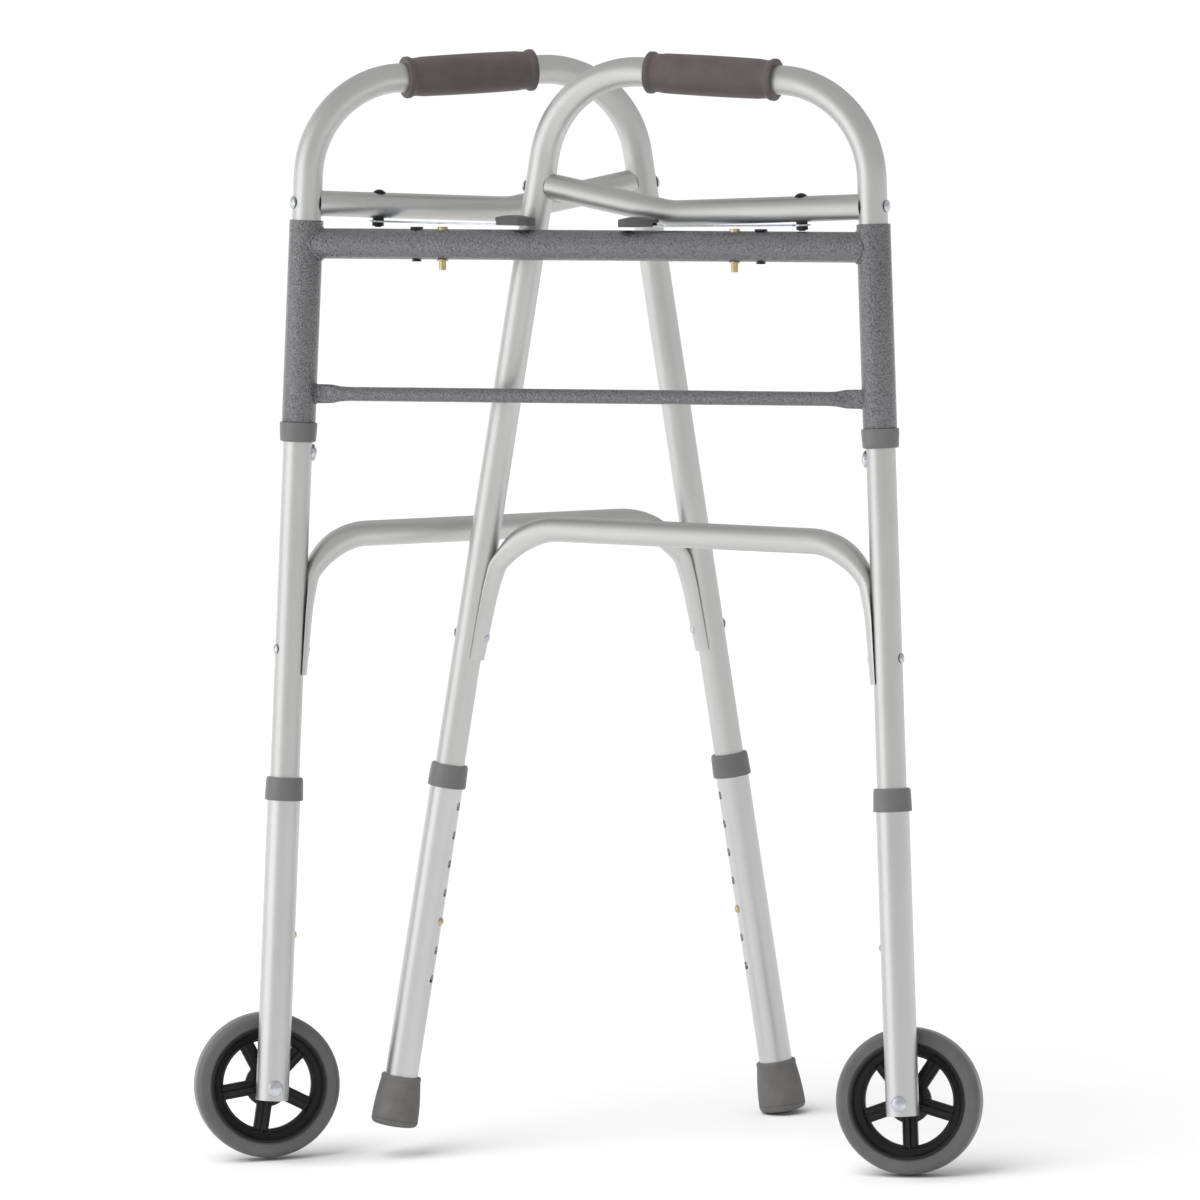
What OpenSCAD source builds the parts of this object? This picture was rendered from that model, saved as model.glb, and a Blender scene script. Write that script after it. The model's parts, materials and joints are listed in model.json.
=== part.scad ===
// Two-button folding walker with front wheels, stored folded.
// X runs along the crossbar, Y points away from the front, Z is up. Millimetres.
// Each side is drawn once, as the left side, with its front leg axis on Z and its
// frame in the XZ plane, then swung, splayed and mirrored into place.

/* [Front frame] */
// distance between the two hinge axes at the crossbar
hinge_spacing = 512; // [440:1:600]
// outward lean of each front leg, degrees
splay = 2.2; // [0:0.1:4]
// crossbar outside diameter
crossbar_od = 26.5; // [22:0.5:32]
// wall of the steel tubes of the front frame
steel_wall = 1.5; // [1:0.1:2.5]
// hinge sleeve outside diameter
sleeve_od = 29.5; // [28:0.1:36]
// sleeve length above the crossbar axis
sleeve_up = 20; // [16:0.5:22]
// sleeve length below the crossbar axis
sleeve_down = 155; // [120:1:180]
// lower bar distance below the crossbar axis
lower_bar_drop = 130; // [90:1:145]
// lower bar diameter
lower_bar_od = 12.7; // [10:0.1:19]
// plastic ring under each sleeve, height
ring_h = 17; // [8:1:24]
// plastic ring under each sleeve, outside diameter
ring_od = 33; // [31:0.5:38]

/* [Side frame] */
// leg tube outside diameter
leg_od = 25.4; // [22:0.1:28]
// leg tube wall
leg_wall = 1.3; // [1:0.1:2]
// height of the front top corner above the crossbar axis
top_front_s = 138.7; // [110:0.1:170]
// distance from the front leg axis to the rear top corner
top_rear_u = 288.3; // [240:0.1:330]
// rise of the handle towards the back, degrees
grip_rise = 5.1; // [0:0.1:10]
// backward rake of the rear leg, degrees
rear_rake = 11.7; // [6:0.1:16]
// centreline radius of the two top bends
top_bend_r = 87; // [70:1:100]
// grip length
grip_len = 119; // [90:1:125]
// grip barrel diameter
grip_od = 36.5; // [32:0.5:42]
// upper brace height above the crossbar axis
brace_s = 35; // [34:0.5:50]
// brace tube diameter
brace_od = 22.2; // [19:0.1:25]
// distance from the front leg to the bend of the upper brace
brace_bend_u = 187; // [150:1:220]
// lower brace: depth of its front corner below the crossbar axis
low_front_s = -252; // [-300:1:-220]
// lower brace: slope of its straight run, degrees
low_rise = 3.8; // [0:0.1:8]
// lower brace: centreline radius of its bends
low_bend_r = 60; // [45:1:75]
// lower brace: rivet depth on the front leg
low_rivet_front_s = -352; // [-400:1:-330]
// lower brace: rivet depth on the rear leg
low_rivet_rear_s = -324; // [-380:1:-310]
// retaining screw depth below the crossbar axis
retain_s = -181; // [-210:1:-178]

/* [Legs and wheels] */
// depth of the front adjustment collar
front_collar_s = -473; // [-520:1:-440]
// depth of the rear adjustment collar
rear_collar_s = -445; // [-500:1:-420]
// snap button distance below the collar along the leg
snap_below = 127; // [101.6:25.4:152.4]
// spacing of the height holes
hole_pitch = 25.4; // [20:0.1:30]
// holes above the snap button
holes_above = 4; // [1:1:4]
// holes below the snap button
holes_below = 2; // [1:1:3]
// snap button diameter
snap_d = 7; // [5:0.1:8]
// extension tube outside diameter
ext_od = 28.6; // [27:0.1:33]
// collar outside diameter
collar_od = 33.5; // [31:0.5:38]
// collar height
collar_h = 20; // [14:1:26]
// depth of the wheel axle below the crossbar axis
axle_s = -733; // [-800:1:-680]
// wheel diameter
wheel_d = 127; // [100:1:152]
// tyre width
tyre_w = 25; // [18:1:32]
// tyre thickness
tyre_t = 13; // [8:1:18]
// turn of the axle from square to the side frame, degrees
axle_toe = 10; // [0:1:15]
// axle bolt diameter
axle_d = 8; // [6:0.5:10]
// depth of the foot of the rear tip below the crossbar axis
tip_s = -748; // [-800:1:-700]
// rubber tip diameter at the floor
tip_d = 41; // [38:0.5:48]
// rubber tip height
tip_h = 44; // [34:1:54]

/* [Folding lock] */
// distance from the hinge axis to the link bolt on the brace
link_bolt_u = 66; // [55:1:80]
// length of the flat link from its bolt to the middle of its paddle
link_len = 144; // [130:1:160]
// link width
link_w = 16; // [12:0.5:20]
// link thickness
link_t = 1.5; // [1:0.1:2]
// upward set of the link, degrees
link_set = 1.4; // [0:0.1:2]
// guide rivet distance from the hinge axis
guide_u = 101; // [90:1:110]
// lock pin distance from the hinge axis
pin_u = 124.5; // [115:0.5:135]
// lock pin diameter
pin_d = 6.35; // [5:0.05:8]
// paddle length
paddle_l = 33; // [26:1:40]
// paddle width
paddle_w = 22; // [20:1:28]
// paddle thickness
paddle_t = 9; // [7:0.5:12]
// paddle press travel
paddle_travel = 2; // [1:0.1:2.5]
// lock pin press travel
pin_travel = 5; // [3:0.5:7]

/* [Pose] */
// fold of the left side from the crossbar, degrees
fold_left = 38; // [36:1:100]
// fold of the right side from the crossbar, degrees
fold_right = 6; // [4:1:100]
// left link direction from the crossbar, degrees
link_dir_left = -17; // [-30:1:0]
// right link direction from the crossbar, degrees
link_dir_right = -4; // [-30:1:0]

/* [Fits] */
// radial gap of a turning or sliding fit
run_gap = 0.06; // [0.02:0.01:0.1]
// gap between pieces that only sit together
seat_gap = 0.02; // [0.01:0.01:0.1]
// radial gap of a plain screw hole
screw_gap = 0.1; // [0.05:0.05:0.3]

/* [Hidden] */
$fn = 60;
leg_r = leg_od / 2;
leg_id = leg_od - 2 * leg_wall;
brace_r = brace_od / 2;
ext_id = leg_od + 2 * run_gap;
ext_r = ext_od / 2;
half = hinge_spacing / 2;
screw_d = 6;
rivet_d = 5;

// rear leg: a point u at crossbar level, then v along the leg (down is negative)
top_slope = tan(grip_rise);
rear_u0 = top_rear_u + (top_front_s + top_rear_u * top_slope) * tan(rear_rake);
function rear_v(s) = s / cos(rear_rake);
function rear_u(s) = rear_u0 - s * tan(rear_rake);

snap_front_s = front_collar_s - snap_below;
rear_collar_v = rear_v(rear_collar_s);
snap_rear_v = rear_collar_v - snap_below;
leg_below_snap = holes_below * hole_pitch + 18;
leg_front_end = snap_front_s - leg_below_snap;
leg_rear_end = snap_rear_v - leg_below_snap;
tip_v = rear_v(tip_s);
ext_front_end = axle_s - 11;
ext_rear_end = tip_v + 8;

grip_mid = (top_rear_u / cos(grip_rise)) / 2;
loop_pts = [[0, leg_front_end], [0, top_front_s],
            [top_rear_u, top_front_s + top_rear_u * top_slope],
            [rear_u0 - leg_rear_end * sin(rear_rake), leg_rear_end * cos(rear_rake)]];

brace_rear_s = brace_s + (rear_u(brace_s) - brace_bend_u) * tan(rear_rake)
               / (1 + pow(tan(rear_rake), 2));
brace_rear_u = rear_u(brace_rear_s);
brace_rear_v = rear_v(brace_rear_s);
brace_pts = [[0, brace_s], [brace_bend_u, brace_s], [brace_rear_u, brace_rear_s]];

saddle_t = 2.6;
low_front_u = leg_r + 22;
low_rear_u = rear_u(low_front_s) - leg_r - 35;
low_end_front = [leg_r + 4, low_rivet_front_s + 26];
low_end_rear = [rear_u(low_rivet_rear_s + 22) - leg_r - 6, low_rivet_rear_s + 22];
low_pts = [low_end_front, [low_front_u, low_front_s],
           [low_rear_u, low_front_s + (low_rear_u - low_front_u) * tan(low_rise)],
           low_end_rear];

strip_lo = brace_s - brace_r - 2.1 - link_t;
wheel_off = ext_r + 2.7 + tyre_w / 2 + 0.4;
hub_r = wheel_d / 2 - tyre_t;
hub_w = tyre_w - 1;

// points of the front frame from a side's own u, n (out of its plane) and s
function side_pt(fold, u, n, s) = let (x = u * cos(fold) - n * sin(fold))
    [x * cos(splay) + s * sin(splay), u * sin(fold) + n * cos(fold),
     s * cos(splay) - x * sin(splay)];
wheel_pt = side_pt(fold_right, wheel_off * sin(axle_toe), wheel_off * cos(axle_toe), axle_s);
tip_pt = side_pt(fold_left, rear_u(tip_s), 0, tip_s);
rear_dir = side_pt(fold_left, sin(rear_rake), 0, -cos(rear_rake));
// the frame leans back until the left tip and the wheels share one floor
function lean_step(p) = let (dz = rear_dir[2] * cos(p) - rear_dir[1] * sin(p))
    asin((wheel_d / 2 - (wheel_pt[2] - tip_pt[2]) * cos(p)
          - tip_d / 2 * sqrt(1 - dz * dz) * 0.93) / (tip_pt[1] - wheel_pt[1]));
lean = lean_step(lean_step(lean_step(lean_step(5))));
floor_z = wheel_pt[2] * cos(lean) - wheel_pt[1] * sin(lean) - wheel_d / 2;
shift_y = -58;

// ---------- placing ----------

module stand() translate([0, shift_y, -floor_z]) rotate([-lean, 0, 0]) children();
module at_side(sgn) mirror([sgn > 0 ? 1 : 0, 0, 0])
    translate([-half, 0, 0]) rotate([0, splay, 0]) children();
module swung(sgn) at_side(sgn) rotate([0, 0, sgn > 0 ? fold_right : fold_left]) children();
module on_side(sgn) stand() swung(sgn) children();
// origin on the rear leg axis, Z up the leg, X away from the front leg
module rear_axis() translate([rear_u0, 0, 0]) rotate([0, -rear_rake, 0]) children();
// origin at the axle in the extension, Z out along the axle
module axle_axis() translate([0, 0, axle_s]) rotate([0, 0, -axle_toe])
    rotate([-90, 0, 0]) children();
// Z along +u, or along -u
module facing_u(u, s) translate([u, 0, s]) rotate([0, 90, 0]) children();
module facing_front(u, s) translate([u, 0, s]) rotate([0, -90, 0]) children();
// the link bolt on the brace, then the direction of the link
module link_axis(sgn) translate([link_bolt_u, 0, 0])
    rotate([0, 0, sgn > 0 ? link_dir_right - fold_right : link_dir_left - fold_left])
    children();

// ---------- building blocks ----------

module ring(od, id, h) difference() {
    cylinder(d = od, h = h);
    translate([0, 0, -1]) cylinder(d = id, h = h + 2);
}

function unit(v) = v / norm(v);
function cross2(a, b) = a[0] * b[1] - a[1] * b[0];
function turn(p, i) = acos(unit(p[i] - p[i - 1]) * unit(p[i + 1] - p[i]));
function setback(p, r, i) = r * tan(turn(p, i) / 2);

// a bend's wall is this much thinner on each face, and the straight runs lap over it
bend_thin = 0.08;
bend_lap = 1;
module elbow(p, r, i, d, bore) {
    into = unit(p[i] - p[i - 1]);
    sgn = cross2(into, unit(p[i + 1] - p[i])) > 0 ? 1 : -1;
    start = p[i] - into * setback(p, r, i);
    c = start + sgn * r * [-into[1], into[0]];
    a = atan2(start[1] - c[1], start[0] - c[0]);
    translate([c[0], 0, c[1]]) rotate([90, 0, 0])
        rotate([0, 0, sgn > 0 ? a : a - turn(p, i)])
        rotate_extrude(angle = turn(p, i)) translate([r, 0]) difference() {
            circle(d = d - 2 * bend_thin);
            circle(d = bore + 2 * bend_thin);
        }
}

// a tube bent in the XZ plane through corner points p with one bend radius r
module bent_tube(p, r, d, bore) {
    n = len(p);
    for (i = [0:n - 2]) {
        dir = unit(p[i + 1] - p[i]);
        a = i == 0 ? p[0] : p[i] + dir * (setback(p, r, i) - bend_lap);
        b = i == n - 2 ? p[n - 1] : p[i + 1] - dir * (setback(p, r, i + 1) - bend_lap);
        translate([a[0], 0, a[1]]) rotate([0, atan2(dir[0], dir[1]), 0])
            ring(d, bore, norm(b - a));
    }
    for (i = [1:n - 2]) elbow(p, r, i, d, bore);
}

// a low domed head on the XY plane
module dome(d, h) {
    big = (d * d / 4 + h * h) / (2 * h);
    intersection() {
        translate([0, 0, h - big]) sphere(r = big);
        cylinder(d = d + 1, h = h);
    }
}

// a plate curved round a tube of radius r on its +X side
module saddle(r, t, w, h) intersection() {
    ring(2 * (r + t), 2 * r, h);
    translate([0, -w / 2, 0]) cube([r + t + 1, w, h]);
}

// ---------- front frame ----------

module crossbar() color("dimgray") stand() difference() {
    translate([-half, 0, 0]) rotate([0, 90, 0])
        ring(crossbar_od, crossbar_od - 2 * steel_wall, hinge_spacing);
    for (sgn = [-1, 1]) {
        at_side(sgn) translate([0, 0, -sleeve_down])
            cylinder(d = sleeve_od + 2 * seat_gap, h = sleeve_down + sleeve_up + 2);
        at_lock(sgn, guide_u) translate([0, 0, -crossbar_od])
            cylinder(d = rivet_d + 2 * screw_gap, h = 2 * crossbar_od);
        at_lock(sgn, pin_u) {
            translate([0, 0, -crossbar_od])
                cylinder(d = pin_d + 2 * run_gap, h = 2 * crossbar_od);
            cylinder(d = pin_head_d + 2 * run_gap, h = crossbar_od);
        }
    }
}

// a place on the crossbar at distance u from a hinge axis, Z up
module at_lock(sgn, u) translate([sgn * (half - u), 0, 0]) children();

module lower_bar() color("dimgray") stand() difference() {
    reach = half + lower_bar_drop * sin(splay);
    flat_l = 16;
    translate([0, 0, -lower_bar_drop]) {
        translate([-reach + sleeve_od / 2 + flat_l - 4, 0, 0]) rotate([0, 90, 0])
            ring(lower_bar_od, lower_bar_od - 2 * steel_wall,
                 2 * (reach - sleeve_od / 2 - flat_l + 4));
        for (sgn = [-1, 1]) {
            x = reach - flat_l - sleeve_od / 2;
            translate([sgn > 0 ? x : -reach, -1.6, -8.5])
                cube([flat_l + sleeve_od / 2, 3.2, 17]);
        }
    }
    for (sgn = [-1, 1]) at_side(sgn) translate([0, 0, -sleeve_down])
        cylinder(d = sleeve_od + 2 * seat_gap, h = sleeve_down + sleeve_up + 2);
}

bush_od = leg_od + 2.6;
bush_h = 22;
module pivot_sleeve(sgn) color("dimgray") stand() at_side(sgn) difference() {
    translate([0, 0, -sleeve_down]) cylinder(d = sleeve_od, h = sleeve_down + sleeve_up);
    translate([0, 0, -sleeve_down - 1])
        cylinder(d = leg_od + 1, h = sleeve_down + sleeve_up + 2);
    for (z = [-sleeve_down - 1, sleeve_up - bush_h])
        translate([0, 0, z]) cylinder(d = bush_od + 2 * seat_gap, h = bush_h + 1);
}
module pivot_sleeve_left() pivot_sleeve(-1);
module pivot_sleeve_right() pivot_sleeve(1);

module sleeve_bush(sgn) color("gray") stand() at_side(sgn)
    translate([0, 0, sleeve_up - bush_h + seat_gap])
    ring(bush_od, leg_od + 2 * run_gap, bush_h - seat_gap);
module sleeve_bush_left() sleeve_bush(-1);
module sleeve_bush_right() sleeve_bush(1);

module sleeve_ring(sgn) color("gray") stand() at_side(sgn) difference() {
    union() {
        translate([0, 0, -sleeve_down - ring_h])
            cylinder(d1 = ring_od - 2, d2 = ring_od, h = ring_h - seat_gap);
        translate([0, 0, -sleeve_down - 1]) cylinder(d = bush_od, h = bush_h);
    }
    translate([0, 0, -sleeve_down - ring_h - 1])
        cylinder(d = leg_od + 2 * run_gap, h = ring_h + bush_h + 2);
}
module sleeve_ring_left() sleeve_ring(-1);
module sleeve_ring_right() sleeve_ring(1);

module guide_rivets() color("#2b2b2b") stand() for (sgn = [-1, 1]) at_lock(sgn, guide_u) {
    translate([0, 0, -crossbar_od / 2 - 1.6]) cylinder(d = rivet_d, h = crossbar_od + 1.7);
    translate([0, 0, crossbar_od / 2 + 0.05]) cylinder(d = 11, h = 1.7);
    translate([0, 0, -crossbar_od / 2 - 1.7]) cylinder(d = 8, h = 1.6);
}

// ---------- lock pins ----------

pin_head_d = 9;
pin_top = crossbar_od / 2 + 2;
head_low = 3;
module lock_pin(sgn) color("goldenrod") stand() at_lock(sgn, pin_u) {
    translate([0, 0, -crossbar_od / 2 - 9]) cylinder(d = pin_d, h = crossbar_od / 2 + 9 + head_low);
    translate([0, 0, head_low]) cylinder(d = pin_head_d, h = pin_top - head_low);
    translate([0, 0, -crossbar_od / 2 - 1.2]) cylinder(d = 10, h = 1);
}
module lock_pin_left() lock_pin(-1);
module lock_pin_right() lock_pin(1);

module pin_springs() color("silver") stand() for (sgn = [-1, 1]) at_lock(sgn, pin_u) {
    coils = 6;
    high = head_low - 0.6;
    // the lowest coil sits just above the curved inside of the bar
    low = 0.6 - sqrt(pow(crossbar_od / 2 - steel_wall, 2) - pow(pin_d / 2 + 1.35, 2));
    for (k = [0:coils - 1]) translate([0, 0, high - k * (high - low) / (coils - 1)])
            rotate_extrude() translate([pin_d / 2 + 0.9, 0]) circle(d = 0.9);
}

// ---------- side frame ----------

module side_tube(sgn) color("silver") on_side(sgn) difference() {
    bent_tube(loop_pts, top_bend_r, leg_od, leg_id);
    facing_u(0, retain_s) cylinder(d = screw_d + 2 * screw_gap, h = leg_od);
    facing_u(-leg_od, brace_s) cylinder(d = screw_d + 2 * screw_gap, h = 2 * leg_od);
    facing_u(-leg_od, low_rivet_front_s) cylinder(d = rivet_d + 2 * screw_gap, h = 2 * leg_od);
    facing_u(0, snap_front_s) cylinder(d = snap_d + 2 * run_gap, h = leg_od);
    rear_axis() {
        facing_u(-leg_od, brace_rear_v) cylinder(d = screw_d + 2 * screw_gap, h = 2 * leg_od);
        facing_u(-leg_od, rear_v(low_rivet_rear_s))
            cylinder(d = rivet_d + 2 * screw_gap, h = 2 * leg_od);
        facing_front(0, snap_rear_v) cylinder(d = snap_d + 2 * run_gap, h = leg_od);
    }
}
module side_tube_left() side_tube(-1);
module side_tube_right() side_tube(1);

module grip(sgn) color("#8f8a86") on_side(sgn)
    translate([0, 0, top_front_s]) rotate([0, 90 - grip_rise, 0])
    translate([0, 0, grip_mid - grip_len / 2]) difference() {
        rotate_extrude() polygon([[leg_r + seat_gap, 0], [grip_od / 2 - 1, 0],
            [grip_od / 2, 1], [grip_od / 2, 3], [grip_od / 2 - 2, 5],
            [grip_od / 2 - 2, 11], [grip_od / 2 - 0.4, 14],
            [grip_od / 2, grip_len / 2], [grip_od / 2 - 0.4, grip_len - 14],
            [grip_od / 2 - 2, grip_len - 11], [grip_od / 2 - 2, grip_len - 5],
            [grip_od / 2, grip_len - 3], [grip_od / 2, grip_len - 1],
            [grip_od / 2 - 1, grip_len], [leg_r + seat_gap, grip_len]]);
    }
module grip_left() grip(-1);
module grip_right() grip(1);

plug = 18;
module upper_brace(sgn) color("lightgray") on_side(sgn) difference() {
    union() {
        bent_tube(brace_pts, low_bend_r, brace_od, brace_od - 2 * leg_wall);
        facing_u(leg_r - 2, brace_s) cylinder(r = brace_r - leg_wall / 2, h = plug);
        rear_axis() facing_front(2 - leg_r, brace_rear_v)
            cylinder(r = brace_r - leg_wall / 2, h = plug);
    }
    translate([0, 0, brace_s - leg_od]) cylinder(d = leg_od + 2 * seat_gap, h = 2 * leg_od);
    facing_u(0, brace_s) cylinder(d = screw_d + 2 * screw_gap, h = leg_r + plug + 1);
    translate([link_bolt_u, 0, brace_s - brace_od])
        cylinder(d = screw_d + 2 * screw_gap, h = 2 * brace_od);
    rear_axis() {
        translate([0, 0, brace_rear_v - leg_od])
            cylinder(d = leg_od + 2 * seat_gap, h = 2 * leg_od);
        facing_front(0, brace_rear_v)
            cylinder(d = screw_d + 2 * screw_gap, h = leg_r + plug + 1);
    }
}
module upper_brace_left() upper_brace(-1);
module upper_brace_right() upper_brace(1);

module brace_screw() {
    translate([0, 0, seat_gap]) dome(11, 3);
    translate([0, 0, -leg_od - plug + 4]) cylinder(d = screw_d, h = leg_od + plug - 3);
}
module brace_screws(sgn) color("gainsboro") on_side(sgn) {
    facing_front(-leg_r, brace_s) brace_screw();
    rear_axis() facing_u(leg_r, brace_rear_v) brace_screw();
}
module brace_screws_left() brace_screws(-1);
module brace_screws_right() brace_screws(1);

// the ends of the lower brace narrow onto curved saddles that hug the legs
saddle_h = 44;
saddle_w = 20;
// a tapered end from inside the tube end to a point on the leg
module low_end(from, back, to) {
    start = from + back;
    d = to - start;
    translate([start[0], 0, start[1]]) rotate([0, atan2(d[0], d[1]), 0])
        cylinder(r1 = brace_r - 0.3, r2 = 4.4, h = norm(d));
}
module lower_brace(sgn) color("lightgray") on_side(sgn) difference() {
    union() {
        bent_tube(low_pts, low_bend_r, brace_od, brace_od - 2 * leg_wall);
        low_end(low_end_front, 5 * unit(low_pts[1] - low_pts[0]),
                [leg_r - 1, low_rivet_front_s - 10]);
        low_end(low_end_rear, 5 * unit(low_pts[2] - low_pts[3]),
                [rear_u(low_rivet_rear_s - 10) - leg_r + 1, low_rivet_rear_s - 10]);
        translate([0, 0, low_rivet_front_s - 22]) saddle(leg_r, saddle_t, saddle_w, saddle_h);
        rear_axis() translate([0, 0, rear_v(low_rivet_rear_s) - 22])
            mirror([1, 0, 0]) saddle(leg_r, saddle_t, saddle_w, saddle_h);
    }
    translate([0, 0, low_rivet_front_s - 60])
        cylinder(d = leg_od + 2 * seat_gap, h = 140);
    facing_u(0, low_rivet_front_s) {
        cylinder(d = rivet_d + 2 * screw_gap, h = leg_od + 20);
        translate([0, 0, leg_r + saddle_t]) cylinder(d = 10, h = 20);
    }
    rear_axis() {
        translate([0, 0, rear_v(low_rivet_rear_s) - 60])
            cylinder(d = leg_od + 2 * seat_gap, h = 140);
        facing_front(0, rear_v(low_rivet_rear_s)) {
            cylinder(d = rivet_d + 2 * screw_gap, h = leg_od + 20);
            translate([0, 0, leg_r + saddle_t]) cylinder(d = 10, h = 20);
        }
    }
}
module lower_brace_left() lower_brace(-1);
module lower_brace_right() lower_brace(1);

// a rivet from the saddle through the leg, head up on Z
module leg_rivet() {
    translate([0, 0, leg_r + saddle_t + seat_gap]) dome(9, 2.4);
    translate([0, 0, -leg_r - 1]) cylinder(d = rivet_d, h = leg_od + saddle_t + 1.5);
    translate([0, 0, -leg_r - seat_gap]) mirror([0, 0, 1]) dome(9, 2.4);
}
module brace_rivets(sgn) color("gainsboro") on_side(sgn) {
    facing_u(0, low_rivet_front_s) leg_rivet();
    rear_axis() facing_front(0, rear_v(low_rivet_rear_s)) leg_rivet();
}
module brace_rivets_left() brace_rivets(-1);
module brace_rivets_right() brace_rivets(1);

washer_d = 15;
washer_t = 1.6;
module retaining_washer(sgn) color("gainsboro") on_side(sgn) difference() {
    facing_u(leg_r * 0.6, retain_s) ring(washer_d, screw_d + 2 * screw_gap, leg_r * 0.4 + washer_t);
    translate([0, 0, retain_s - washer_d]) cylinder(r = leg_r + seat_gap, h = 2 * washer_d);
}
module retaining_washer_left() retaining_washer(-1);
module retaining_washer_right() retaining_washer(1);

module retaining_screw(sgn) color("gainsboro") on_side(sgn) facing_u(0, retain_s) {
    translate([0, 0, leg_r + washer_t + seat_gap]) dome(11, 3.2);
    translate([0, 0, leg_r - leg_wall - 6]) cylinder(d = screw_d, h = leg_wall + 6 + washer_t + 1);
}
module retaining_screw_left() retaining_screw(-1);
module retaining_screw_right() retaining_screw(1);

// ---------- leg extensions ----------

// one leg extension with its foot end at z0, its collar end at z1 and the button at zs;
// the holes face +X
module extension(z0, z1, zs) difference() {
    translate([0, 0, z0]) ring(ext_od, ext_id, z1 - z0);
    for (k = [-holes_below:holes_above]) facing_u(0, zs + k * hole_pitch)
        cylinder(d = snap_d + 2 * run_gap, h = ext_od);
}
ext_top = 8;
module front_extension(sgn) color("silver") on_side(sgn) difference() {
    extension(ext_front_end, front_collar_s + collar_h / 2 - ext_top, snap_front_s);
    axle_axis() translate([0, 0, -ext_od]) cylinder(d = axle_d + 2 * screw_gap, h = 2 * ext_od);
}
module front_extension_left() front_extension(-1);
module front_extension_right() front_extension(1);

module rear_extension(sgn) color("silver") on_side(sgn) rear_axis() mirror([1, 0, 0])
    extension(ext_rear_end, rear_collar_v + collar_h / 2 - ext_top, snap_rear_v);
module rear_extension_left() rear_extension(-1);
module rear_extension_right() rear_extension(1);

module collar(mid) difference() {
    translate([0, 0, mid - collar_h / 2]) cylinder(d = collar_od, h = collar_h);
    translate([0, 0, mid - collar_h]) cylinder(d = ext_id, h = 2 * collar_h);
    translate([0, 0, mid - collar_h / 2 - 1])
        cylinder(d = ext_od + 2 * seat_gap, h = collar_h - ext_top + 1 + seat_gap);
}
module front_collar(sgn) color("gray") on_side(sgn) collar(front_collar_s);
module front_collar_left() front_collar(-1);
module front_collar_right() front_collar(1);
module rear_collar(sgn) color("gray") on_side(sgn) rear_axis() collar(rear_collar_v);
module rear_collar_left() rear_collar(-1);
module rear_collar_right() rear_collar(1);

// snap button with its domed nose through the extension, Z outwards from the leg axis
snap_travel = 3.4;
module snap_button() {
    cylinder(d = snap_d, h = ext_r + 0.4);
    translate([0, 0, ext_r + 0.4]) dome(snap_d, 2);
}
snap_foot = leg_r - leg_wall - snap_travel - 1.2;
module snap_nose() difference() {
    snap_button();
    translate([0, 0, -1]) cylinder(d = snap_d + 2, h = snap_foot + 1);
}
module snap_front(sgn) color("goldenrod") on_side(sgn) facing_u(0, snap_front_s) {
    snap_nose();
    translate([0, 0, snap_foot]) cylinder(d = snap_d + 2, h = 1);
}
module snap_front_left() snap_front(-1);
module snap_front_right() snap_front(1);
module snap_rear(sgn) color("goldenrod") on_side(sgn)
    rear_axis() facing_front(0, snap_rear_v) {
        snap_nose();
        translate([0, 0, snap_foot]) cylinder(d = snap_d + 2, h = 1);
    }
module snap_rear_left() snap_rear(-1);
module snap_rear_right() snap_rear(1);

// the spring clip behind each button: two leaves joined at the top, Z along the leg
clip_w = 8;
module snap_clip() translate([-leg_r + leg_wall + 1.6, -clip_w / 2, -8]) {
    cube([0.8, clip_w, 44]);
    translate([0, 0, 43.2]) cube([10, clip_w, 0.8]);
    translate([9.2, 0, 22]) cube([0.8, clip_w, 22]);
}
module snap_clips(sgn) color("silver") on_side(sgn) {
    translate([0, 0, snap_front_s]) snap_clip();
    rear_axis() translate([0, 0, snap_rear_v]) mirror([1, 0, 0]) snap_clip();
}
module snap_clips_left() snap_clips(-1);
module snap_clips_right() snap_clips(1);

module rubber_tip(sgn) color("gray") on_side(sgn) rear_axis() translate([0, 0, tip_v])
    rotate_extrude() polygon([[0, 0], [tip_d / 2 - 1.5, 0], [tip_d / 2, 1.5],
        [tip_d / 2, 7], [tip_d / 2 - 0.7, 18], [tip_d / 2 - 2, tip_h - 14],
        [tip_d / 2 - 3.2, tip_h - 4], [tip_d / 2 - 3.2, tip_h - 1], [tip_d / 2 - 4, tip_h],
        [ext_r + seat_gap, tip_h], [ext_r + seat_gap, 8 - seat_gap], [0, 8 - seat_gap]]);
module rubber_tip_left() rubber_tip(-1);
module rubber_tip_right() rubber_tip(1);

// ---------- wheels ----------

spokes = 5;
spoke_w = 11.5;
boss_r = 13;
rim_t = 8;
module wheel_hub(sgn) color("#202020") on_side(sgn) axle_axis()
    translate([0, 0, wheel_off]) rotate([0, 0, sgn > 0 ? 90 : 96]) difference() {
        union() {
            translate([0, 0, -hub_w / 2]) ring(2 * hub_r, 2 * (hub_r - rim_t), hub_w);
            translate([0, 0, -tyre_w / 2]) cylinder(r = boss_r, h = tyre_w);
            for (k = [0:spokes - 1]) rotate([0, 0, k * 360 / spokes]) {
                translate([boss_r - 2, -spoke_w / 2, -3])
                    cube([hub_r - rim_t - boss_r + 4, spoke_w, 6]);
                translate([boss_r - 2, -1.25, -hub_w / 2 + 2])
                    cube([hub_r - rim_t - boss_r + 4, 2.5, hub_w - 4]);
            }
        }
        translate([0, 0, -tyre_w]) cylinder(d = axle_d + 2 * run_gap, h = 2 * tyre_w);
    }
module wheel_hub_left() wheel_hub(-1);
module wheel_hub_right() wheel_hub(1);

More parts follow.
